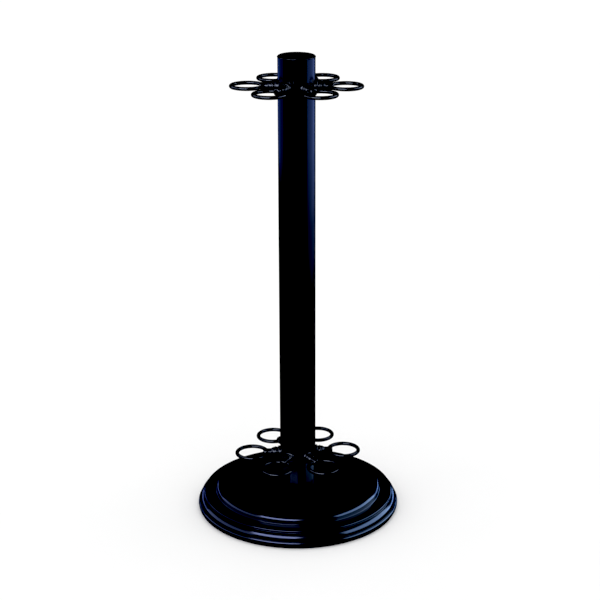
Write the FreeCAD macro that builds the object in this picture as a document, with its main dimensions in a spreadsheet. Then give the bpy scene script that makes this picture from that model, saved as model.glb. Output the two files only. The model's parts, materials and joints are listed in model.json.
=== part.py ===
import FreeCAD, Part

# Free-standing cue rack: a weighted round base, a tube post and two crowns of six wire rings.
# The frame: origin on the floor under the post's axis, +Z up, millimetres.
# Each ring is a wire hoop held by a turned spindle, and each spindle is bolted through the post wall.

import math
import os
import re

import Sketcher

X_AXIS = FreeCAD.Vector(1, 0, 0)
Y_AXIS = FreeCAD.Vector(0, 1, 0)
Z_AXIS = FreeCAD.Vector(0, 0, 1)
ORIGIN = FreeCAD.Vector(0, 0, 0)

# Which side of the direction of travel an arc's centre lies on.
LEFT = 1
RIGHT = -1

DIMENSIONS = {
    # feet and bottom cover
    "foot_radius": 12,
    "foot_height": 4,
    "foot_circle": 138,
    "foot_count": 6,
    "cover_radius": 155,
    "cover_thick": 1.5,
    "cover_access_radius": 16,
    # spun base shell, from the floor up
    "shell_wall": 1.6,
    "rim_bottom": 0.5,
    "rim_foot_radius": 160.3,
    "rim_radius": 162.4,
    "rim_widest": 7,
    "rim_bulge_radius": 11.2,
    "rim_top": 10.4,
    "rim_edge_radius": 4.45,
    "rim_lean": 1.6,
    "groove_radius": 159.3,
    "ovolo_bottom": 11,
    "ovolo_radius": 11.5,
    "ovolo_top": 21.8,
    "ovolo_lead": 0.4,
    "ledge_radius": 152.4,
    "ledge_edge": 1.8,
    "ledge_top": 26,
    "ledge_inner_top": 26.3,
    "crease_radius": 1.2,
    "shoulder_level": 30.7,
    "shoulder_radius": 8,
    "shoulder_outer": 133,
    "dome_edge_radius": 126.4,
    "dome_edge_top": 38.1,
    "dome_top": 46,
    "dome_flat_radius": 34,
    # ballast casting
    "ballast_radius": 118,
    "ballast_thick": 21,
    "ballast_edge": 2,
    "boss_radius": 34,
    "boss_flare": 10,
    "counterbore_radius": 15,
    "counterbore_depth": 12,
    # tie bolt, M10
    "bolt_radius": 5,
    "bolt_clearance": 0.5,
    "bolt_length": 40,
    "bolt_head_flats": 16,
    "bolt_head_height": 6.4,
    "tie_washer_radius": 11,
    "tie_washer_thick": 2,
    # cover screws, M5 button head
    "screw_radius": 2.5,
    "screw_length": 12,
    "screw_head_radius": 4.75,
    "screw_head_height": 2.75,
    "screw_socket_flats": 3,
    "screw_socket_depth": 1.6,
    "screw_circle": 92,
    "screw_count": 4,
    # post, plug and cap
    "post_radius": 28.5,
    "post_wall": 1.5,
    "post_top": 733,
    "plug_thick": 12,
    "plug_chamfer": 1,
    "cap_radius": 29.1,
    "cap_lip": 1.6,
    "cap_lip_radius": 0.85,
    "cap_lip_bulge": 0.56,
    "cap_crown": 738,
    "cap_shoulder": 26,
    "cap_shoulder_rise": 1.6,
    "cap_edge_radius": 3.5,
    "cap_skirt_depth": 16,
    "cap_skirt_wall": 1.8,
    "cap_skirt_chamfer": 0.5,
    "cap_clearance": 0.1,
    # ring crowns
    "ring_count": 6,
    "upper_level": 689.5,
    "lower_level": 91.2,
    "upper_turn": -2.1,
    "lower_turn": 3.7,
    "ring_circle": 74,
    "ring_radius": 24.25,
    "wire_radius": 3,
    "ring_gap_angle": 8,
    "seat_clearance": 0.05,
    "seat_sweep": 50,
    # spindles, along the radius outward from the post's surface
    "saddle_gap": 0.02,
    "saddle_height": 40,
    "stud_radius": 3,
    "stud_tip": 18.6,
    "stud_chamfer": 0.6,
    "wall_hole_radius": 3.25,
    "flange_radius": 10,
    "flange_back": 2.4,
    "flange_length": 1.6,
    "flange_bead": 2.86,
    "flange_end": 4.2,
    "neck_radius": 7.8,
    "ridge_start": 5.4,
    "ridge_side_radius": 8.4,
    "ridge_bead": 2.6,
    "ridge_end": 8.6,
    "bell_start": 9.4,
    "bell_root_radius": 8.1,
    "bell_curve": 9,
    "bell_end": 14.4,
    "barrel_radius": 6,
    "barrel_end": 25.2,
    "barrel_nose": 2.5,
    # nuts and washers inside the post, M6
    "washer_radius": 6,
    "washer_hole_radius": 3.2,
    "washer_thick": 1.6,
    "washer_seat": 26.25,
    "nut_flats": 10,
    "nut_thick": 5,
}

doc = FreeCAD.newDocument("cue_rack")
sheet = doc.addObject("Spreadsheet::Sheet", "dims")
for row, (alias, size) in enumerate(DIMENSIONS.items(), start=1):
    sheet.set(f"A{row}", alias)
    sheet.set(f"B{row}", str(size))
    sheet.setAlias(f"B{row}", alias)
doc.recompute()

sub_parts = []


def bound(formula):
    """Write a formula in cell names as an expression on the spreadsheet."""
    return re.sub(r"[a-z]\w+_\w+", lambda name: "dims." + name.group(0), formula)


def size(formula):
    """Value of a formula in cell names, in millimetres or degrees."""
    return float(sheet.evalExpression(bound(formula)))


def keep(item, label):
    """Make an object one of the rack's sub-parts, under its own name."""
    item.Label = label
    sub_parts.append(item)
    return item


def around(angle, level=0):
    """Placement turned about the post's axis and raised to a level."""
    return FreeCAD.Placement(FreeCAD.Vector(0, 0, level), FreeCAD.Rotation(Z_AXIS, angle))


# --- sketches -------------------------------------------------------------------------------------


def new_body(label):
    """An empty body that will become one sub-part."""
    return keep(doc.addObject("PartDesign::Body", label + "_body"), label)


def sketch_on(body, role, name):
    """A sketch on one of the body's own origin planes."""
    sketch = body.newObject("Sketcher::SketchObject", name)
    plane = next(plane for plane in body.Origin.OriginFeatures if plane.Role == role)
    sketch.AttachmentSupport = [(plane, "")]
    sketch.MapMode = "FlatFace"
    return sketch


def arc_between(start, end, radius, side):
    """The short arc from start to end, with its centre on the given side of the way there."""
    chord = end - start
    normal = FreeCAD.Vector(-chord.y, chord.x, 0).normalize() * side
    rise = math.sqrt(radius ** 2 - (chord.Length / 2) ** 2)
    centre = start + chord * 0.5 + normal * rise
    first, last = (start, end) if side == LEFT else (end, start)
    circle = Part.Circle(centre, Z_AXIS, radius)
    return Part.ArcOfCircle(circle, circle.parameter(first), circle.parameter(last))


def pin_point(sketch, geometry, end, place):
    """Hold one end of a line or arc at a place given by two formulas."""
    for kind, axis, formula in (("DistanceX", -2, place[0]), ("DistanceY", -1, place[1])):
        if formula == "0":
            sketch.addConstraint(Sketcher.Constraint("PointOnObject", geometry, end, axis))
            continue
        index = sketch.addConstraint(Sketcher.Constraint(kind, -1, 1, geometry, end, size(formula)))
        sketch.setExpression(f"Constraints[{index}]", bound(formula))


def draw_outline(sketch, steps):
    """Draw a closed outline. A step is the (x, y) it goes to, or (x, y, radius, side) for an arc."""
    places = [FreeCAD.Vector(size(step[0]), size(step[1]), 0) for step in steps]
    ends = []
    for number, step in enumerate(steps):
        start, end = places[number - 1], places[number]
        if len(step) == 2:
            line = sketch.addGeometry(Part.LineSegment(start, end))
            ends.append((line, 1, 2))
            continue
        arc = sketch.addGeometry(arc_between(start, end, size(step[2]), step[3]))
        ends.append((arc, 1, 2) if step[3] == LEFT else (arc, 2, 1))
        index = sketch.addConstraint(Sketcher.Constraint("Radius", arc, size(step[2])))
        sketch.setExpression(f"Constraints[{index}]", bound(step[2]))
    for number, step in enumerate(steps):
        geometry, first, last = ends[number]
        before = ends[number - 1]
        sketch.addConstraint(Sketcher.Constraint("Coincident", before[0], before[2], geometry, first))
        pin_point(sketch, geometry, last, step)


def draw_circle(sketch, place, radius):
    """Draw a circle whose centre and radius follow formulas."""
    centre = FreeCAD.Vector(size(place[0]), size(place[1]), 0)
    circle = sketch.addGeometry(Part.Circle(centre, Z_AXIS, size(radius)))
    pin_point(sketch, circle, 3, place)
    index = sketch.addConstraint(Sketcher.Constraint("Radius", circle, size(radius)))
    sketch.setExpression(f"Constraints[{index}]", bound(radius))


def turn(body, kind, sketch, axis, angle=360):
    """Revolve a sketch about one of its axes, to add to the body or to cut it."""
    feature = body.newObject(kind, sketch.Name + "_turned")
    feature.Profile = sketch
    feature.ReferenceAxis = (sketch, [axis])
    feature.Midplane = angle != 360
    feature.Angle = angle
    return feature


def extrude(body, kind, sketch, length, midplane=False, backwards=False):
    """Pad or pocket a sketch by a length formula."""
    feature = body.newObject(kind, sketch.Name + "_extruded")
    feature.Profile = sketch
    feature.Midplane = midplane
    feature.Reversed = backwards
    feature.setExpression("Length", bound(length))
    return feature


def polar(body, feature, count):
    """Repeat a feature a number of times in a full circle about the body's Z axis."""
    doc.recompute()
    pattern = body.newObject("PartDesign::PolarPattern", feature.Name + "_pattern")
    pattern.Originals = [feature]
    z_axis = next(axis for axis in body.Origin.OriginFeatures if axis.Role == "Z_Axis")
    pattern.Axis = (z_axis, [""])
    pattern.Angle = 360
    pattern.setExpression("Occurrences", bound(count))
    body.Tip = pattern
    return pattern


def turned_body(label, steps):
    """A body turned about +Z from an outline of (radius, height) steps."""
    body = new_body(label)
    sketch = sketch_on(body, "XZ_Plane", label + "_outline")
    draw_outline(sketch, steps)
    turn(body, "PartDesign::Revolution", sketch, "V_Axis")
    return body


# --- base -----------------------------------------------------------------------------------------

DOME_DROP = "(dome_top - dome_edge_top)"
DOME_REACH = "(dome_edge_radius - dome_flat_radius)"
DOME_RADIUS = f"({DOME_REACH} * {DOME_REACH} + {DOME_DROP} * {DOME_DROP}) / (2 * {DOME_DROP})"
BOLT_HOLE = "bolt_radius + bolt_clearance"
COVER_TOP = "foot_height + cover_thick"


def build_base_shell():
    """Spun steel dish: bulged rim, quarter-round, ledge, short wall, rounded shoulder and dome."""
    body = turned_body("base_shell", [
        (BOLT_HOLE, "rim_bottom"),
        ("rim_foot_radius", "rim_bottom"),
        ("rim_radius", "rim_widest", "rim_bulge_radius", LEFT),
        ("rim_radius - rim_lean", "rim_top", "rim_edge_radius", LEFT),
        ("groove_radius", "rim_top"),
        ("groove_radius", "ovolo_bottom"),
        ("ledge_radius + ovolo_lead", "ovolo_top", "ovolo_radius", LEFT),
        ("ledge_radius", "ovolo_top + ovolo_lead"),
        ("ledge_radius", "ledge_top - ledge_edge"),
        ("ledge_radius - ledge_edge", "ledge_top", "ledge_edge", LEFT),
        ("shoulder_outer + crease_radius", "ledge_inner_top"),
        ("shoulder_outer", "ledge_inner_top + crease_radius", "crease_radius", RIGHT),
        ("shoulder_outer", "shoulder_level"),
        ("dome_edge_radius", "dome_edge_top", "shoulder_radius", LEFT),
        ("dome_flat_radius", "dome_top", DOME_RADIUS, LEFT),
        (BOLT_HOLE, "dome_top"),
    ])
    doc.recompute()
    cavity = sketch_on(body, "XZ_Plane", "shell_cavity")
    draw_outline(cavity, [
        ("0", "0"),
        ("rim_foot_radius - shell_wall", "0"),
        ("rim_foot_radius - shell_wall", "rim_top - shell_wall"),
        ("groove_radius - shell_wall", "rim_top - shell_wall"),
        ("groove_radius - shell_wall", "ovolo_bottom"),
        ("ledge_radius - shell_wall", "ovolo_top", "ovolo_radius", LEFT),
        ("ledge_radius - shell_wall", "ledge_top - shell_wall"),
        ("shoulder_outer - shell_wall", "ledge_top - shell_wall"),
        ("shoulder_outer - shell_wall", "shoulder_level"),
        ("dome_edge_radius", "dome_edge_top - shell_wall", "shoulder_radius - shell_wall", LEFT),
        ("dome_flat_radius", "dome_top - shell_wall", DOME_RADIUS, LEFT),
        ("0", "dome_top - shell_wall"),
    ])
    turn(body, "PartDesign::Groove", cavity, "V_Axis")


def build_base_ballast():
    """Iron disc with a central boss that carries the shell, and tapped holes for the cover screws."""
    disc_top = f"{COVER_TOP} + ballast_thick"
    body = turned_body("base_ballast", [
        ("counterbore_radius", COVER_TOP),
        ("ballast_radius - ballast_edge", COVER_TOP),
        ("ballast_radius", f"{COVER_TOP} + ballast_edge"),
        ("ballast_radius", f"{disc_top} - ballast_edge"),
        ("ballast_radius - ballast_edge", disc_top),
        ("boss_radius + boss_flare", disc_top),
        ("boss_radius", f"{disc_top} + boss_flare", "boss_flare", RIGHT),
        ("boss_radius", "dome_top - shell_wall"),
        (BOLT_HOLE, "dome_top - shell_wall"),
        (BOLT_HOLE, f"{COVER_TOP} + counterbore_depth"),
        ("counterbore_radius", f"{COVER_TOP} + counterbore_depth"),
    ])
    doc.recompute()
    holes = sketch_on(body, "XY_Plane", "ballast_screw_hole")
    draw_circle(holes, ("screw_circle", "0"), "screw_radius + seat_clearance")
    pocket = extrude(body, "PartDesign::Pocket", holes, f"{COVER_TOP} + screw_length", backwards=True)
    polar(body, pocket, "screw_count")


def build_base_cover():
    """Flat steel plate under the base, with a hole for reaching the tie bolt."""
    body = new_body("base_cover")
    disc = sketch_on(body, "XY_Plane", "cover_disc")
    draw_circle(disc, ("0", "0"), "cover_radius")
    draw_circle(disc, ("0", "0"), "cover_access_radius")
    extrude(body, "PartDesign::Pad", disc, "cover_thick")
    doc.recompute()
    holes = sketch_on(body, "XY_Plane", "cover_screw_hole")
    draw_circle(holes, ("screw_circle", "0"), "screw_radius + bolt_clearance")
    pocket = extrude(body, "PartDesign::Pocket", holes, "cover_thick", backwards=True)
    polar(body, pocket, "screw_count")
    body.Placement = around(0, size("foot_height"))


def build_rubber_feet():
    """Round rubber pads glued under the cover."""
    pads = []
    for number in range(int(size("foot_count"))):
        pad = doc.addObject("Part::Cylinder", f"foot_{number + 1}")
        pad.setExpression("Radius", bound("foot_radius"))
        pad.setExpression("Height", bound("foot_height"))
        angle = 360 / size("foot_count") * number
        place = FreeCAD.Placement(X_AXIS * size("foot_circle"), FreeCAD.Rotation())
        pad.Placement = around(angle) * place
        pads.append(pad)
    group = keep(doc.addObject("Part::Compound", "rubber_feet_group"), "rubber_feet")
    group.Links = pads


def build_cover_screws():
    """Button-head socket screws that hold the cover to the ballast."""
    screws = []
    for number in range(int(size("screw_count"))):
        head = doc.addObject("Part::Cylinder", f"screw_head_{number + 1}")
        head.setExpression("Radius", bound("screw_head_radius"))
        head.setExpression("Height", bound("screw_head_height"))
        shank = doc.addObject("Part::Cylinder", f"screw_shank_{number + 1}")
        shank.setExpression("Radius", bound("screw_radius"))
        shank.setExpression("Height", bound("screw_length"))
        shank.setExpression("Placement.Base.z", bound("screw_head_height"))
        blank = doc.addObject("Part::Fuse", f"screw_blank_{number + 1}")
        blank.Base = head
        blank.Tool = shank
        socket = doc.addObject("Part::Prism", f"screw_socket_{number + 1}")
        socket.Polygon = 6
        socket.setExpression("Circumradius", bound("screw_socket_flats / sqrt(3)"))
        socket.setExpression("Height", bound("screw_socket_depth"))
        screw = doc.addObject("Part::Cut", f"screw_{number + 1}")
        screw.Base = blank
        screw.Tool = socket
        place = FreeCAD.Vector(size("screw_circle"), 0, size("foot_height - screw_head_height"))
        angle = 360 / size("screw_count") * number
        screw.Placement = around(angle) * FreeCAD.Placement(place, FreeCAD.Rotation())
        screws.append(screw)
    group = keep(doc.addObject("Part::Compound", "cover_screws_group"), "cover_screws")
    group.Links = screws


def build_tie_bolt():
    """Hex-head bolt that clamps ballast and shell to the post's plug."""
    head = doc.addObject("Part::Prism", "bolt_head")
    head.Polygon = 6
    head.setExpression("Circumradius", bound("bolt_head_flats / sqrt(3)"))
    head.setExpression("Height", bound("bolt_head_height"))
    shank = doc.addObject("Part::Cylinder", "bolt_shank")
    shank.setExpression("Radius", bound("bolt_radius"))
    shank.setExpression("Height", bound("bolt_length"))
    shank.setExpression("Placement.Base.z", bound("bolt_head_height"))
    bolt = keep(doc.addObject("Part::Fuse", "tie_bolt_fuse"), "tie_bolt")
    bolt.Base = head
    bolt.Tool = shank
    head_top = f"{COVER_TOP} + counterbore_depth - tie_washer_thick"
    bolt.Placement = around(0, size(f"{head_top} - bolt_head_height"))


def ring_disc(label, outer, inner, thick):
    """A flat washer built from two cylinders, standing on its own origin."""
    disc = doc.addObject("Part::Cylinder", label + "_disc")
    disc.setExpression("Radius", bound(outer))
    disc.setExpression("Height", bound(thick))
    hole = doc.addObject("Part::Cylinder", label + "_hole")
    hole.setExpression("Radius", bound(inner))
    hole.setExpression("Height", bound(thick))
    washer = doc.addObject("Part::Cut", label + "_cut")
    washer.Base = disc
    washer.Tool = hole
    return washer


def build_tie_washer():
    """Flat washer between the bolt head and the bottom of the ballast's counterbore."""
    washer = ring_disc("tie_washer", "tie_washer_radius", BOLT_HOLE, "tie_washer_thick")
    keep(washer, "tie_washer")
    washer.Placement = around(0, size(f"{COVER_TOP} + counterbore_depth - tie_washer_thick"))


# --- post -----------------------------------------------------------------------------------------

CROWNS = {
    "upper": ("upper_level", "upper_turn"),
    "lower": ("lower_level", "lower_turn"),
}
POST_BORE = "post_radius - post_wall"


def build_post_tube():
    """Steel tube with a circle of stud holes for each crown of rings."""
    body = new_body("post_tube")
    section = sketch_on(body, "XY_Plane", "post_section")
    draw_circle(section, ("0", "0"), "post_radius")
    draw_circle(section, ("0", "0"), POST_BORE)
    extrude(body, "PartDesign::Pad", section, "post_top - dome_top")
    doc.recompute()
    for crown, (level, turn_angle) in CROWNS.items():
        hole = sketch_on(body, "YZ_Plane", crown + "_stud_hole")
        draw_circle(hole, ("0", f"{level} - dome_top"), "wall_hole_radius")
        hole.AttachmentOffset = FreeCAD.Placement(ORIGIN, FreeCAD.Rotation(Y_AXIS, size(turn_angle)))
        pocket = extrude(body, "PartDesign::Pocket", hole, "post_radius * 2", backwards=True)
        polar(body, pocket, "ring_count")
    body.Placement = around(0, size("dome_top"))


def build_post_plug():
    """Tapped steel disc welded flush into the foot of the tube."""
    body = turned_body("post_plug", [
        ("bolt_radius + seat_clearance", "0"),
        (f"{POST_BORE} - seat_clearance", "0"),
        (f"{POST_BORE} - seat_clearance", "plug_thick - plug_chamfer"),
        (f"{POST_BORE} - seat_clearance - plug_chamfer", "plug_thick"),
        ("bolt_radius + seat_clearance", "plug_thick"),
    ])
    body.Placement = around(0, size("dome_top"))


def build_post_cap():
    """Domed cap whose skirt is pushed into the top of the tube."""
    skirt = f"({POST_BORE} - cap_clearance)"
    crown_drop = "(cap_crown - post_top - cap_lip - cap_shoulder_rise)"
    crown_radius = f"(cap_shoulder * cap_shoulder + {crown_drop} * {crown_drop}) / (2 * {crown_drop})"
    body = turned_body("post_cap", [
        ("0", "cap_skirt_depth"),
        (f"{skirt} - cap_skirt_wall", "cap_skirt_depth"),
        (f"{skirt} - cap_skirt_wall", "0"),
        (f"{skirt} - cap_skirt_chamfer", "0"),
        (skirt, "cap_skirt_chamfer"),
        (skirt, "cap_skirt_depth"),
        ("cap_radius - cap_lip_bulge", "cap_skirt_depth"),
        ("cap_radius - cap_lip_bulge", "cap_skirt_depth + cap_lip", "cap_lip_radius", LEFT),
        ("cap_shoulder", "cap_skirt_depth + cap_lip + cap_shoulder_rise", "cap_edge_radius", LEFT),
        ("0", "cap_skirt_depth + cap_crown - post_top", crown_radius, LEFT),
    ])
    body.Placement = around(0, size("post_top - cap_skirt_depth"))


# --- ring crowns ----------------------------------------------------------------------------------


def build_ring(label, place):
    """Wire hoop, open where its two ends enter the spindle's cross hole."""
    body = new_body(label)
    section = sketch_on(body, "XZ_Plane", label + "_wire")
    draw_circle(section, ("ring_radius", "0"), "wire_radius")
    hoop = turn(body, "PartDesign::Revolution", section, "V_Axis", angle=size("360 - ring_gap_angle"))
    hoop.setExpression("Angle", bound("360 - ring_gap_angle"))
    body.Placement = place * FreeCAD.Placement(X_AXIS * size("ring_circle"), FreeCAD.Rotation())


def build_spindle(label, place):
    """Turned spindle along the radius: saddled flange, ridge, bell, barrel, ring seat and stud."""
    body = new_body(label)
    outline = sketch_on(body, "XZ_Plane", label + "_outline")
    draw_outline(outline, [
        ("post_radius - flange_back", "0"),
        ("post_radius + barrel_end + barrel_nose", "0"),
        ("post_radius + barrel_end + barrel_nose", "barrel_radius - barrel_nose"),
        ("post_radius + barrel_end", "barrel_radius", "barrel_nose", LEFT),
        ("post_radius + bell_end", "barrel_radius"),
        ("post_radius + bell_start", "bell_root_radius", "bell_curve", LEFT),
        ("post_radius + bell_start", "neck_radius"),
        ("post_radius + ridge_end", "neck_radius"),
        ("post_radius + ridge_end", "ridge_side_radius"),
        ("post_radius + ridge_start", "ridge_side_radius", "ridge_bead", LEFT),
        ("post_radius + ridge_start", "neck_radius"),
        ("post_radius + flange_end", "neck_radius"),
        ("post_radius + flange_length", "flange_radius", "flange_bead", LEFT),
        ("post_radius - flange_back", "flange_radius"),
    ])
    turn(body, "PartDesign::Revolution", outline, "H_Axis")
    doc.recompute()
    saddle = sketch_on(body, "XY_Plane", label + "_saddle")
    draw_circle(saddle, ("0", "0"), "post_radius + saddle_gap")
    extrude(body, "PartDesign::Pocket", saddle, "saddle_height", midplane=True)
    doc.recompute()
    seat = sketch_on(body, "XZ_Plane", label + "_seat")
    draw_circle(seat, ("ring_circle - ring_radius", "0"), "wire_radius + seat_clearance")
    centre = X_AXIS * size("ring_circle")
    hinge = seat.addGeometry(Part.LineSegment(centre, centre + Y_AXIS * size("ring_radius")), True)
    pin_point(seat, hinge, 1, ("ring_circle", "0"))
    pin_point(seat, hinge, 2, ("ring_circle", "ring_radius"))
    turn(body, "PartDesign::Groove", seat, "Axis0", angle=size("seat_sweep"))
    doc.recompute()
    stud = sketch_on(body, "XZ_Plane", label + "_stud")
    draw_outline(stud, [
        ("stud_tip", "0"),
        ("post_radius + flange_length", "0"),
        ("post_radius + flange_length", "stud_radius"),
        ("stud_tip + stud_chamfer", "stud_radius"),
        ("stud_tip", "stud_radius - stud_chamfer"),
    ])
    turn(body, "PartDesign::Revolution", stud, "H_Axis")
    body.Placement = place


def nut_blank(label):
    """A hex nut built from a prism and its bore, standing on its own origin."""
    blank = doc.addObject("Part::Prism", label + "_prism")
    blank.Polygon = 6
    blank.setExpression("Circumradius", bound("nut_flats / sqrt(3)"))
    blank.setExpression("Height", bound("nut_thick"))
    bore = doc.addObject("Part::Cylinder", label + "_bore")
    bore.setExpression("Radius", bound("stud_radius + seat_clearance"))
    bore.setExpression("Height", bound("nut_thick"))
    nut = doc.addObject("Part::Cut", label + "_cut")
    nut.Base = blank
    nut.Tool = bore
    return nut


def build_crowns():
    """Rings and spindles of both crowns, with the nuts and washers that hold them inside the post."""
    inward = FreeCAD.Rotation(Y_AXIS, -90)
    washer_place = FreeCAD.Placement(X_AXIS * size("washer_seat"), inward)
    nut_place = FreeCAD.Placement(X_AXIS * size("washer_seat - washer_thick"), inward)
    nuts = []
    washers = []
    for crown, (level, turn_angle) in CROWNS.items():
        for number in range(int(size("ring_count"))):
            tag = f"{crown}_{number + 1}"
            place = around(size(turn_angle) + 360 / size("ring_count") * number, size(level))
            build_ring(f"{crown}_ring_{number + 1}", place)
            build_spindle(f"{crown}_spindle_{number + 1}", place)
            washer = ring_disc("washer_" + tag, "washer_radius", "washer_hole_radius", "washer_thick")
            washer.Placement = place * washer_place
            washers.append(washer)
            nut = nut_blank("nut_" + tag)
            nut.Placement = place * nut_place
            nuts.append(nut)
    nut_group = keep(doc.addObject("Part::Compound", "ring_nuts_group"), "ring_nuts")
    nut_group.Links = nuts
    washer_group = keep(doc.addObject("Part::Compound", "ring_washers_group"), "ring_washers")
    washer_group.Links = washers


# --- build, test and write ------------------------------------------------------------------------


def check_document():
    """Stop if any object failed or any sub-part has no valid closed shape."""
    doc.recompute()
    for item in doc.Objects:
        if "Invalid" in item.State or "Error" in item.State:
            raise RuntimeError(f"{item.Name} failed: {item.State}")
    for item in sub_parts:
        if item.Shape.isNull() or not item.Shape.isValid() or not item.Shape.Solids:
            raise RuntimeError(f"{item.Label} has no valid solid")


build_base_shell()
build_base_ballast()
build_base_cover()
build_rubber_feet()
build_cover_screws()
build_tie_bolt()
build_tie_washer()
build_post_tube()
build_post_plug()
build_post_cap()
build_crowns()
check_document()

os.makedirs("parts", exist_ok=True)
for item in sub_parts:
    item.Shape.exportStep(f"parts/{item.Label}.step")
    box = item.Shape.optimalBoundingBox()
    print(f"{item.Label}: {len(item.Shape.Solids)} solid(s), {item.Shape.Volume / 1000:.2f} cm3,"
          f" x {box.XMin:.2f}..{box.XMax:.2f}, z {box.ZMin:.2f}..{box.ZMax:.2f}")
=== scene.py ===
"""Studio picture of a free-standing cue rack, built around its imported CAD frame.

The frame: metres, +Z up, origin on the floor under the post's axis. The camera is on the -Y side.
Sizes of the rack's pieces below are in millimetres; those of the studio are in metres.
"""
import json
import math
import random

import bpy
from mathutils import Matrix, Vector

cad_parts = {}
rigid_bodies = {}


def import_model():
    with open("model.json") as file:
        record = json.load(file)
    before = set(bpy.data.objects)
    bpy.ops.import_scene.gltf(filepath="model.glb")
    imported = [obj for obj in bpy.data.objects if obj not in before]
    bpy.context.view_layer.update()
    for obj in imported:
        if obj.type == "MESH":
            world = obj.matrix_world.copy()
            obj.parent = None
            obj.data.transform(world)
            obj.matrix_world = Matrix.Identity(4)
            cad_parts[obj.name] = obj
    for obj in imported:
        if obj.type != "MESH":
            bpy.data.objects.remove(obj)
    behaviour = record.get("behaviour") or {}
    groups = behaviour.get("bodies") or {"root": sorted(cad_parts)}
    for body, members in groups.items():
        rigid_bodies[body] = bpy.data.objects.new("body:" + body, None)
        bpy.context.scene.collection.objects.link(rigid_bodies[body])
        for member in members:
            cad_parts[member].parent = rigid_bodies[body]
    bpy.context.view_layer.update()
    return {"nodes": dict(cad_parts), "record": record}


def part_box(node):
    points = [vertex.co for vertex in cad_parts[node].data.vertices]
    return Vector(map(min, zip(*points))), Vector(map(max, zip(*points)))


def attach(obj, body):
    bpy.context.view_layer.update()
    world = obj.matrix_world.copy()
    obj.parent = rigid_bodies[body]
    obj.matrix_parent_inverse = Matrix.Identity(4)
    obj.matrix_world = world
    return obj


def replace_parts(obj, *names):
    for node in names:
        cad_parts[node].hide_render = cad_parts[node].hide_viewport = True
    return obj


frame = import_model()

MM = 0.001
LEFT = 1
RIGHT = -1

BODY = "root"
COAT = "gloss_black_coat"
WIRE = "gloss_black_wire"
CASTING = "gloss_black_casting"
RUBBER = "rubber"


# --- outlines -------------------------------------------------------------------------------------


def arc_points(start, end, radius, side, count):
    """Points after start on the short arc to end, whose centre lies on the given side of the way."""
    chord = end - start
    normal = Vector((-chord.y, chord.x)).normalized() * side
    rise = math.sqrt(max(radius ** 2 - (chord.length / 2) ** 2, 0))
    centre = start + chord / 2 + normal * rise
    first = math.atan2(start.y - centre.y, start.x - centre.x)
    sweep = side * 2 * math.asin(min(chord.length / 2 / radius, 1))
    angles = [first + sweep * (step + 1) / count for step in range(count)]
    return [centre + Vector((math.cos(a), math.sin(a))) * radius for a in angles]


def soften(points, width, limit=math.radians(22), steps=5):
    """Round every crisp corner of a closed outline, as a coat of paint does."""
    softened = []
    for number, point in enumerate(points):
        before, after = points[number - 1], points[(number + 1) % len(points)]
        come, go = point - before, after - point
        if min(come.length, go.length) < 1e-6 or abs(come.angle(go)) < limit:
            softened.append(point)
            continue
        reach = min(width, come.length * 0.4, go.length * 0.4)
        start, end = point - come.normalized() * reach, point + go.normalized() * reach
        for step in range(steps + 1):
            t = step / steps
            softened.append(start * (1 - t) ** 2 + point * 2 * t * (1 - t) + end * t ** 2)
    return softened


def outline(steps, width=0.35, arc_count=14):
    """Closed outline in millimetres. A step is (x, y), or (x, y, radius, side) for an arc to it."""
    places = [Vector(step[:2]) for step in steps]
    points = []
    for number, step in enumerate(steps):
        if len(step) == 2:
            points.append(places[number])
        else:
            points += arc_points(places[number - 1], places[number], step[2], step[3], arc_count)
    return soften(points, width)


# --- meshes ---------------------------------------------------------------------------------------


def mark_crisp_edges(mesh, limit=math.radians(35)):
    """Shade the mesh smooth, apart from edges that really are corners."""
    mesh.shade_smooth()
    angles = {}
    for polygon in mesh.polygons:
        for key in polygon.edge_keys:
            angles.setdefault(key, []).append(polygon.normal.copy())
    for edge in mesh.edges:
        normals = angles.get(edge.key, [])
        edge.use_edge_sharp = len(normals) == 2 and normals[0].angle(normals[1], 0) > limit


def piece(name, vertices, faces, slot, place=Matrix.Identity(4)):
    """A new piece that rides on the rack's body, from vertices in millimetres."""
    mesh = bpy.data.meshes.new(name)
    mesh.from_pydata([place @ (Vector(v) * MM) for v in vertices], [], faces)
    mesh.validate()
    mesh.update()
    mark_crisp_edges(mesh)
    mesh.materials.append(MATERIALS[slot])
    made = bpy.data.objects.new(name, mesh)
    bpy.context.scene.collection.objects.link(made)
    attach(made, BODY)
    return made


def lathe(points, count, turn_point):
    """Vertices and faces of a closed outline of (radius, height) turned once round.

    turn_point gives the vertex at a radius, a height and an angle. A point on the axis is one vertex.
    """
    vertices, rows = [], []
    for point in points:
        if point.x < 1e-6:
            rows.append([len(vertices)] * count)
            vertices.append(turn_point(0, point.y, 0))
            continue
        rows.append(list(range(len(vertices), len(vertices) + count)))
        vertices += [turn_point(point.x, point.y, 2 * math.pi * k / count) for k in range(count)]
    faces = []
    for number, row in enumerate(rows):
        last = rows[number - 1]
        for k in range(count):
            corners = [last[k], last[(k + 1) % count], row[(k + 1) % count], row[k]]
            corners = list(dict.fromkeys(corners))
            if len(corners) > 2:
                faces.append(corners)
    return vertices, faces


def upright(radius, height, angle):
    """Vertex of something turned about an upright axis."""
    return radius * math.cos(angle), radius * math.sin(angle), height


# --- materials ------------------------------------------------------------------------------------


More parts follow.
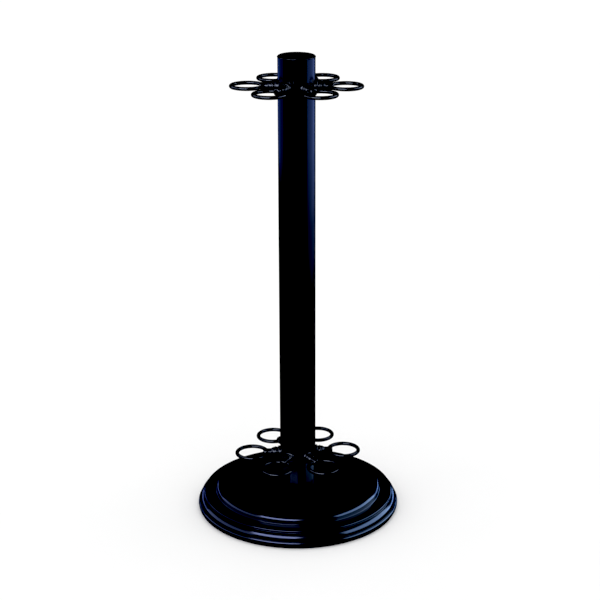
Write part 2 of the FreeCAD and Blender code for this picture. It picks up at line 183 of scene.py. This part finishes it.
class Shader:
    """A new material and short ways of adding nodes to it."""

    def __init__(self, name):
        self.material = bpy.data.materials.new(name)
        self.material.use_nodes = True
        self.nodes = self.material.node_tree.nodes
        self.links = self.material.node_tree.links
        self.surface = self.nodes["Principled BSDF"]
        self.coordinates = self.nodes.new("ShaderNodeTexCoord").outputs["Object"]

    def noise(self, scale, detail=3, roughness=0.5):
        """Noise in the frame's own space; scale is in cells per metre."""
        node = self.nodes.new("ShaderNodeTexNoise")
        node.inputs["Scale"].default_value = scale
        node.inputs["Detail"].default_value = detail
        node.inputs["Roughness"].default_value = roughness
        self.links.new(self.coordinates, node.inputs["Vector"])
        return node.outputs["Fac"]

    def ramp(self, source, low, high, start=0.3, stop=0.7):
        """Map a value to a range of numbers or colours."""
        node = self.nodes.new("ShaderNodeValToRGB")
        ends = node.color_ramp.elements
        ends[0].position, ends[1].position = start, stop
        ends[0].color = low if isinstance(low, tuple) else (low, low, low, 1)
        ends[1].color = high if isinstance(high, tuple) else (high, high, high, 1)
        self.links.new(source, node.inputs["Fac"])
        return node.outputs["Color"]

    def bump(self, source, height, under=None):
        """Raise the surface by a value times a height in metres."""
        node = self.nodes.new("ShaderNodeBump")
        node.inputs["Strength"].default_value = 1.0
        node.inputs["Distance"].default_value = height
        self.links.new(source, node.inputs["Height"])
        if under:
            self.links.new(under, node.inputs["Normal"])
        return node.outputs["Normal"]

    def drive(self, socket, source):
        """Link a value to one of the surface's inputs."""
        self.links.new(source, self.surface.inputs[socket])


def black_coat(name, peel_height, gloss=(0.13, 0.2), colour=(0.0004, 0.0004, 0.0006)):
    """Gloss black powder coat: orange peel, faint thin and thick patches, a few dust nibs."""
    shader = Shader(name)
    patches = shader.noise(14, 4)
    thin = tuple(channel * 0.75 for channel in colour) + (1,)
    thick = tuple(channel * 1.3 for channel in colour) + (1,)
    shader.drive("Base Color", shader.ramp(patches, thin, thick))
    shader.drive("Roughness", shader.ramp(shader.noise(55, 5, 0.6), gloss[0], gloss[1]))
    peel = shader.bump(shader.noise(420, 2, 0.4), peel_height)
    nibs = shader.ramp(shader.noise(900, 1), 0.0, 1.0, 0.74, 0.8)
    shader.drive("Normal", shader.bump(nibs, peel_height * 0.8, under=peel))
    shader.surface.inputs["IOR"].default_value = 1.4
    shader.surface.inputs["Specular Tint"].default_value = (0.78, 0.86, 1.0, 1)
    return shader.material


def satin_plate(name):
    """Satin black paint on rolled plate."""
    shader = Shader(name)
    dark, light = (0.016, 0.016, 0.018, 1), (0.03, 0.03, 0.032, 1)
    shader.drive("Base Color", shader.ramp(shader.noise(30, 5), dark, light))
    shader.drive("Roughness", shader.ramp(shader.noise(90, 4), 0.42, 0.6))
    shader.drive("Normal", shader.bump(shader.noise(700, 3), 0.00004))
    return shader.material


def moulded_rubber(name):
    """Matt black rubber with a fine grain."""
    shader = Shader(name)
    dark, light = (0.018, 0.018, 0.018, 1), (0.035, 0.034, 0.033, 1)
    shader.drive("Base Color", shader.ramp(shader.noise(60, 4), dark, light))
    shader.drive("Roughness", shader.ramp(shader.noise(200, 3), 0.75, 0.92))
    shader.drive("Normal", shader.bump(shader.noise(1600, 4), 0.00012))
    return shader.material


def sand_casting(name):
    """Dark grey cast iron with a rough skin and a touch of rust."""
    shader = Shader(name)
    rusty, grey = (0.07, 0.045, 0.035, 1), (0.13, 0.125, 0.12, 1)
    shader.drive("Base Color", shader.ramp(shader.noise(45, 6), rusty, grey, 0.3, 0.5))
    shader.drive("Roughness", shader.ramp(shader.noise(150, 4), 0.6, 0.85))
    shader.drive("Normal", shader.bump(shader.noise(500, 6), 0.0004))
    shader.surface.inputs["Metallic"].default_value = 0.6
    return shader.material


def plated_steel(name, low, high, roughness):
    """Bright metal with cloudy plating and fine marks."""
    shader = Shader(name)
    shader.drive("Base Color", shader.ramp(shader.noise(160, 5), low + (1,), high + (1,)))
    shader.drive("Roughness", shader.ramp(shader.noise(420, 4), roughness, roughness + 0.15))
    shader.drive("Normal", shader.bump(shader.noise(1400, 4), 0.00003))
    shader.surface.inputs["Metallic"].default_value = 1.0
    return shader.material


MATERIALS = {
    COAT: black_coat(COAT, 0.000012),
    WIRE: black_coat(WIRE, 0.00001, gloss=(0.14, 0.22)),
    CASTING: black_coat(CASTING, 0.000025, gloss=(0.16, 0.24)),
    "satin_black_plate": satin_plate("satin_black_plate"),
    "cast_iron": sand_casting("cast_iron"),
    RUBBER: moulded_rubber(RUBBER),
    "zinc_steel": plated_steel("zinc_steel", (0.5, 0.52, 0.55), (0.66, 0.66, 0.64), 0.25),
    "bare_steel": plated_steel("bare_steel", (0.34, 0.34, 0.35), (0.45, 0.45, 0.46), 0.3),
}


def paint_frame():
    """Give every CAD node the finish that the record names for it."""
    slots = {entry["node"]: entry["material_slot"] for entry in frame["record"]["subparts"]}
    for name, node in frame["nodes"].items():
        node.data.materials.clear()
        node.data.materials.append(MATERIALS[slots[name]])


# --- base -----------------------------------------------------------------------------------------

WALL = 1.6
SHELL_BOTTOM = 0.5
RIM_FOOT = 160.3
RIM = 162.4
RIM_WIDEST = 7
RIM_TOP = 10.4
RIM_BULGE = 11.2
RIM_EDGE = 4.45
RIM_LEAN = 1.6
GROOVE = 159.3
GROOVE_TOP = 11
OVOLO_LEAD = 0.4
OVOLO_TOP = 21.8
OVOLO_CURVE = 11.5
LEDGE = 152.4
LEDGE_FOOT = 22.2
LEDGE_TOP = 26.0
LEDGE_EDGE = 1.8
LEDGE_INNER_TOP = LEDGE_TOP + 0.3
SHOULDER = 133.0
SHOULDER_LEVEL = 30.7
SHOULDER_CURVE = 8
CREASE = 1.2
DOME_EDGE = 126.4
DOME_EDGE_LEVEL = 38.1
DOME_TOP = 46.0
DOME_FLAT = 34.0
BOLT_HOLE = 5.5
FOOT = 12
FOOT_TOP = 4
FEET = 6


def build_base():
    """Spun base shell, turned from one outline, with its sheet's thickness and softened edges."""
    drop, reach = DOME_TOP - DOME_EDGE_LEVEL, DOME_EDGE - DOME_FLAT
    dome = (reach ** 2 + drop ** 2) / (2 * drop)
    points = outline([
        (RIM_FOOT - WALL, SHELL_BOTTOM),
        (RIM_FOOT, SHELL_BOTTOM),
        (RIM, RIM_WIDEST, RIM_BULGE, LEFT),
        (RIM - RIM_LEAN, RIM_TOP, RIM_EDGE, LEFT),
        (GROOVE, RIM_TOP),
        (GROOVE, GROOVE_TOP),
        (LEDGE + OVOLO_LEAD, OVOLO_TOP, OVOLO_CURVE, LEFT),
        (LEDGE, LEDGE_FOOT),
        (LEDGE, LEDGE_TOP - LEDGE_EDGE),
        (LEDGE - LEDGE_EDGE, LEDGE_TOP, LEDGE_EDGE, LEFT),
        (SHOULDER + CREASE, LEDGE_INNER_TOP),
        (SHOULDER, LEDGE_INNER_TOP + CREASE, CREASE, RIGHT),
        (SHOULDER, SHOULDER_LEVEL),
        (DOME_EDGE, DOME_EDGE_LEVEL, SHOULDER_CURVE, LEFT),
        (DOME_FLAT, DOME_TOP, dome, LEFT),
        (BOLT_HOLE, DOME_TOP),
        (BOLT_HOLE, DOME_TOP - WALL),
        (DOME_FLAT, DOME_TOP - WALL),
        (DOME_EDGE, DOME_EDGE_LEVEL - WALL, dome, RIGHT),
        (SHOULDER - WALL, SHOULDER_LEVEL, SHOULDER_CURVE - WALL, RIGHT),
        (SHOULDER - WALL, LEDGE_TOP - WALL),
        (LEDGE - WALL, LEDGE_TOP - WALL),
        (LEDGE - WALL, OVOLO_TOP),
        (GROOVE - WALL, GROOVE_TOP, OVOLO_CURVE, RIGHT),
        (GROOVE - WALL, RIM_TOP - WALL),
        (RIM_FOOT - WALL, RIM_TOP - WALL),
    ], width=0.3)
    vertices, faces = lathe(points, 320, upright)
    skin = piece("base_shell_skin", vertices, faces, COAT)
    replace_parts(skin, "base_shell")


def build_feet():
    """Moulded rubber feet with a rounded edge and a shallow recess in the middle of the sole."""
    _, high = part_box("rubber_feet")
    circle = high.x / MM - FOOT
    points = outline([
        (0, 0.5), (5, 0.5),
        (5.6, 0), (FOOT - 1.4, 0),
        (FOOT, 1.4, 1.6, LEFT), (FOOT, FOOT_TOP - 0.8),
        (FOOT - 0.6, FOOT_TOP), (0, FOOT_TOP),
    ], width=0.3)
    for number in range(FEET):
        turn = Matrix.Rotation(math.radians(360 / FEET * number), 4, "Z")
        place = turn @ Matrix.Translation((circle * MM, 0, 0))
        vertices, faces = lathe(points, 64, upright)
        foot = piece(f"rubber_foot_{number + 1}", vertices, faces, RUBBER, place)
        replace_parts(foot, "rubber_feet")


# --- post -----------------------------------------------------------------------------------------

POST = 28.5
POST_BORE = 27.0
POST_TOP = 733.0
POST_PARTS = 24
CAP_WALL = 1.8
CAP_SKIRT = 16
CAP_LIP = 29.1
CAP_LIP_HEIGHT = 1.6
CAP_LIP_BULGE = 0.56
CAP_LIP_CURVE = 0.85
CAP_SHOULDER = 26
CAP_SHOULDER_HEIGHT = 3.2
CAP_EDGE_CURVE = 3.5
CAP_HEIGHT = 5
CAP_CROWN_CURVE = 188.7


def build_post():
    """Tube with softened ends, divided along its length."""
    points = outline([
        (POST_BORE, DOME_TOP), (POST, DOME_TOP), (POST, POST_TOP), (POST_BORE, POST_TOP),
    ], width=0.3)
    length = POST_TOP - DOME_TOP
    rungs = [Vector((POST, DOME_TOP + length * part / POST_PARTS)) for part in range(1, POST_PARTS)]
    top = next(number for number, point in enumerate(points) if point.y > POST_TOP - 1)
    vertices, faces = lathe(points[:top] + rungs + points[top:], 256, upright)
    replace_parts(piece("post_skin", vertices, faces, COAT), "post_tube")


def build_cap():
    """Domed cap with a rolled lip, and its skirt inside the tube."""
    skirt = POST_BORE - 0.1
    lip = CAP_LIP - CAP_LIP_BULGE
    bottom = POST_TOP - CAP_SKIRT
    points = outline([
        (0, POST_TOP), (skirt - CAP_WALL, POST_TOP), (skirt - CAP_WALL, bottom),
        (skirt - 0.5, bottom), (skirt, bottom + 0.5), (skirt, POST_TOP),
        (lip, POST_TOP), (lip, POST_TOP + CAP_LIP_HEIGHT, CAP_LIP_CURVE, LEFT),
        (CAP_SHOULDER, POST_TOP + CAP_SHOULDER_HEIGHT, CAP_EDGE_CURVE, LEFT),
        (0, POST_TOP + CAP_HEIGHT, CAP_CROWN_CURVE, LEFT),
    ], width=0.25)
    vertices, faces = lathe(points, 256, upright)
    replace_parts(piece("post_cap_skin", vertices, faces, COAT), "post_cap")


# --- ring crowns ----------------------------------------------------------------------------------

RING_CIRCLE = 74.0
RING = 24.25
WIRE_RADIUS = 3.0
COLLAR_START = 4.0
COLLAR_LENGTH = 3.6
COLLAR_SINK = 0.15
COLLAR_FLARE = 1.25
RIPPLE = 0.07
FLANGE = 10
NECK = 7.8
BEAD = 8.4
BARREL = 6.0
BARREL_END = 25.2
TIP = 3.5
TIP_END = 27.7
GAP = math.radians(8)
RINGS = 6
# Level of each crown, and its turn about the post in degrees.
CROWNS = {"upper": (689.5, -2.1), "lower": (91.2, 3.7)}


def wire_vertex(along, around, radius):
    """Vertex at angles along the ring and around its wire, at a distance from the wire's core."""
    reach = RING + radius * math.cos(around)
    return RING_CIRCLE + reach * math.cos(along), reach * math.sin(along), radius * math.sin(around)


def hoop_mesh(steps, sides):
    """Wire hoop in its own plane, open by the gap on the post's side, with flat ends."""
    vertices, faces = [], []
    for step in range(steps + 1):
        along = math.pi + GAP / 2 + (2 * math.pi - GAP) * step / steps
        for side in range(sides):
            vertices.append(wire_vertex(along, 2 * math.pi * side / sides, WIRE_RADIUS))
    for step in range(steps):
        for side in range(sides):
            first, second = step * sides + side, step * sides + (side + 1) % sides
            faces.append((first, first + sides, second + sides, second))
    faces.append(tuple(range(sides)))
    faces.append(tuple(reversed(range(steps * sides, (steps + 1) * sides))))
    return vertices, faces


def braze_mesh(hand, dice):
    """Small collar of braze round the wire where it leaves the spindle's barrel, on one hand."""
    sides, rows = 28, 9
    start = math.asin(COLLAR_START / RING)
    length = COLLAR_LENGTH / RING
    phases = [dice.uniform(0, 2 * math.pi) for _ in range(3)]
    vertices, faces = [], []
    for row in range(rows):
        t = row / (rows - 1)
        along = math.pi + hand * (start + length * t)
        for side in range(sides):
            around = 2 * math.pi * side / sides
            waves = sum(math.sin((k + 2) * around + phase) for k, phase in enumerate(phases))
            flare = (COLLAR_FLARE + waves * RIPPLE) * (1 - t) ** 1.8
            vertices.append(wire_vertex(along, around, WIRE_RADIUS - COLLAR_SINK + flare))
    for row in range(rows - 1):
        for side in range(sides):
            first, second = row * sides + side, row * sides + (side + 1) % sides
            quad = (first, first + sides, second + sides, second)
            faces.append(quad if hand > 0 else quad[::-1])
    ends = [tuple(range(sides)), tuple(reversed(range((rows - 1) * sides, rows * sides)))]
    faces += ends if hand > 0 else [end[::-1] for end in ends]
    return vertices, faces


def spindle_outline():
    """Outline of the spindle as (radius, distance from the post's axis)."""
    return outline([
        (0, POST - 3), (FLANGE, POST - 3),
        (FLANGE, POST + 1.6), (NECK, POST + 4.2, 2.86, LEFT),
        (NECK, POST + 5.4), (BEAD, POST + 5.4), (BEAD, POST + 8.6, 2.6, LEFT), (NECK, POST + 8.6),
        (NECK, POST + 9.4), (NECK + 0.3, POST + 9.4), (BARREL, POST + 14.4, 9, LEFT),
        (BARREL, POST + BARREL_END), (TIP, POST + TIP_END, BARREL - TIP, LEFT), (0, POST + TIP_END),
    ], width=0.3, arc_count=10)


def saddled(radius, reach, angle):
    """Vertex of the spindle, lying along X, with its back shaped to the round post."""
    y, z = radius * math.cos(angle), radius * math.sin(angle)
    back = math.sqrt(POST ** 2 - y ** 2)
    return max(reach, back), y, z


def build_crown(crown, level, turn):
    """Six wire hoops on turned spindles, brazed where each wire enters its spindle."""
    dice = random.Random(crown)
    for number in range(RINGS):
        angle = math.radians(turn + 360 / RINGS * number)
        place = Matrix.Translation((0, 0, level * MM)) @ Matrix.Rotation(angle, 4, "Z")
        name = f"{crown}_ring_{number + 1}"
        vertices, faces = hoop_mesh(192, 32)
        hoop = piece(name + "_hoop", vertices, faces, WIRE, place)
        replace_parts(hoop, name)
        for hand, side in ((1, "right"), (-1, "left")):
            vertices, faces = braze_mesh(hand, dice)
            braze = piece(f"{name}_braze_{side}", vertices, faces, WIRE, place)
            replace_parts(braze, name)
        spindle = f"{crown}_spindle_{number + 1}"
        vertices, faces = lathe(spindle_outline(), 96, saddled)
        turned = piece(spindle + "_turned", vertices, faces, CASTING, place)
        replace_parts(turned, spindle)


# --- studio ---------------------------------------------------------------------------------------

CAMERA_PLACE = (0, -2.2676, 1.1404)
CAMERA_TILT = math.radians(19.199)
CAMERA_PAN = math.radians(0.108)
CAMERA_ROLL = math.radians(-0.17)
CAMERA_LENS = 91.92
FLOOR_REACH = 30
FLOOR_LEVEL = -0.0001
WORLD_STRENGTH = 1.1
BLACK_LEVEL = 0.01
# Bottom, top and power of each band of the light beside the post, which fades towards the floor.
TUBE_BANDS = ((0.0, 0.15, 0.4), (0.15, 0.27, 0.9), (0.27, 0.7, 4.8))


def build_camera():
    """Camera a little above the rack, looking down on it."""
    data = bpy.data.cameras.new("camera")
    data.lens = CAMERA_LENS
    data.sensor_width = 36
    data.clip_end = 60
    camera = bpy.data.objects.new("camera", data)
    pan = Matrix.Rotation(-CAMERA_PAN, 4, "Z")
    tilt = Matrix.Rotation(math.pi / 2 - CAMERA_TILT, 4, "X")
    roll = Matrix.Rotation(CAMERA_ROLL, 4, "Z")
    camera.matrix_world = Matrix.Translation(CAMERA_PLACE) @ pan @ tilt @ roll
    bpy.context.scene.collection.objects.link(camera)
    bpy.context.scene.camera = camera


def build_floor():
    """Plain white studio floor, far larger than the picture and a hair under the rubber feet."""
    mesh = bpy.data.meshes.new("floor")
    signs = ((-1, -1), (1, -1), (1, 1), (-1, 1))
    corners = [(x * FLOOR_REACH, y * FLOOR_REACH, FLOOR_LEVEL) for x, y in signs]
    mesh.from_pydata(corners, [], [(0, 1, 2, 3)])
    floor = bpy.data.objects.new("floor", mesh)
    bpy.context.scene.collection.objects.link(floor)
    shader = Shader("studio_floor")
    shader.drive("Base Color", shader.ramp(shader.noise(3, 2), 0.93, 0.95))
    shader.surface.inputs["Roughness"].default_value = 0.9
    shader.surface.inputs["Specular IOR Level"].default_value = 0.0
    mesh.materials.append(shader.material)
    floor.visible_glossy = False


def lit_group(name, chosen):
    """Collection of the meshes that a soft light is to fall on, as flags do in a studio."""
    group = bpy.data.collections.new(name)
    for thing in bpy.context.scene.objects:
        if thing.type == "MESH" and chosen(thing.name):
            group.objects.link(thing)
    return group


def softbox(name, group, azimuth, distance, height, size, power, aim_height, colour):
    """Rectangular soft light for one group; azimuth 0 is the camera's side and 90 is the right."""
    data = bpy.data.lights.new(name, "AREA")
    data.shape = "RECTANGLE"
    data.size, data.size_y = size
    data.energy = power
    data.color = colour
    light = bpy.data.objects.new(name, data)
    angle = math.radians(azimuth)
    light.location = (distance * math.sin(angle), -distance * math.cos(angle), height)
    aim = Vector((0, 0, aim_height)) - light.location
    light.rotation_mode = "QUATERNION"
    light.rotation_quaternion = aim.to_track_quat("-Z", "Y")
    bpy.context.scene.collection.objects.link(light)
    light.light_linking.receiver_collection = group


def build_lights():
    """Even white surroundings, and soft lights to the left and right that give the edges their shine."""
    world = bpy.data.worlds.new("studio")
    world.use_nodes = True
    background = world.node_tree.nodes["Background"]
    background.inputs["Color"].default_value = (1, 1, 1, 1)
    background.inputs["Strength"].default_value = WORLD_STRENGTH
    bpy.context.scene.world = world
    world.cycles_visibility.glossy = False
    view = bpy.context.scene.view_settings
    view.view_transform = "Standard"
    view.use_curve_mapping = True
    view.curve_mapping.black_level = (BLACK_LEVEL,) * 3
    view.curve_mapping.update()
    tube = lit_group("tube", lambda name: name == "post_skin")
    shell = lit_group("shell", lambda name: name == "base_shell_skin")
    trim = lit_group("trim", lambda name: name not in ("post_skin", "base_shell_skin", "floor"))
    softbox("front_left", shell, -27, 2.0, 1.35, (2.1, 1.1), 105, 0.05, (0.55, 0.6, 1.0))
    softbox("right_side", shell, 88, 1.2, 0.5, (1.8, 0.8), 37, 0.45, (0.42, 0.62, 1.0))
    softbox("right_low", shell, 132, 1.2, 0.08, (0.7, 0.12), 2.0, 0.08, (0.25, 0.45, 1.0))
    softbox("left_side", shell, -84, 1.2, 0.28, (1.7, 0.55), 7, 0.25, (0.42, 0.52, 1.0))
    softbox("left_low", shell, -132, 1.2, 0.08, (0.7, 0.12), 0.8, 0.08, (0.25, 0.35, 1.0))
    softbox("front_left_trim", trim, -27, 2.0, 1.35, (2.1, 1.1), 85, 0.05, (0.8, 0.82, 0.95))
    softbox("right_trim", trim, 88, 1.2, 1.05, (1.6, 0.7), 15, 0.3, (0.7, 0.78, 1.0))
    softbox("left_trim", trim, -88, 1.2, 1.05, (1.4, 0.7), 8, 0.3, (0.72, 0.76, 1.0))
    for bottom, top, power in TUBE_BANDS:
        middle, height = (bottom + top) / 2, top - bottom
        softbox("tube_right", tube, 102, 1.2, middle, (1.7, height), power, middle, (0.27, 0.4, 1.0))
    softbox("tube_left", tube, -120, 1.2, 0.51, (1.5, 0.5), 1.8, 0.51, (0.17, 0.28, 1.0))


build_base()
build_feet()
build_post()
build_cap()
for crown_name, (crown_level, crown_turn) in CROWNS.items():
    build_crown(crown_name, crown_level, crown_turn)
paint_frame()
build_camera()
build_floor()
build_lights()
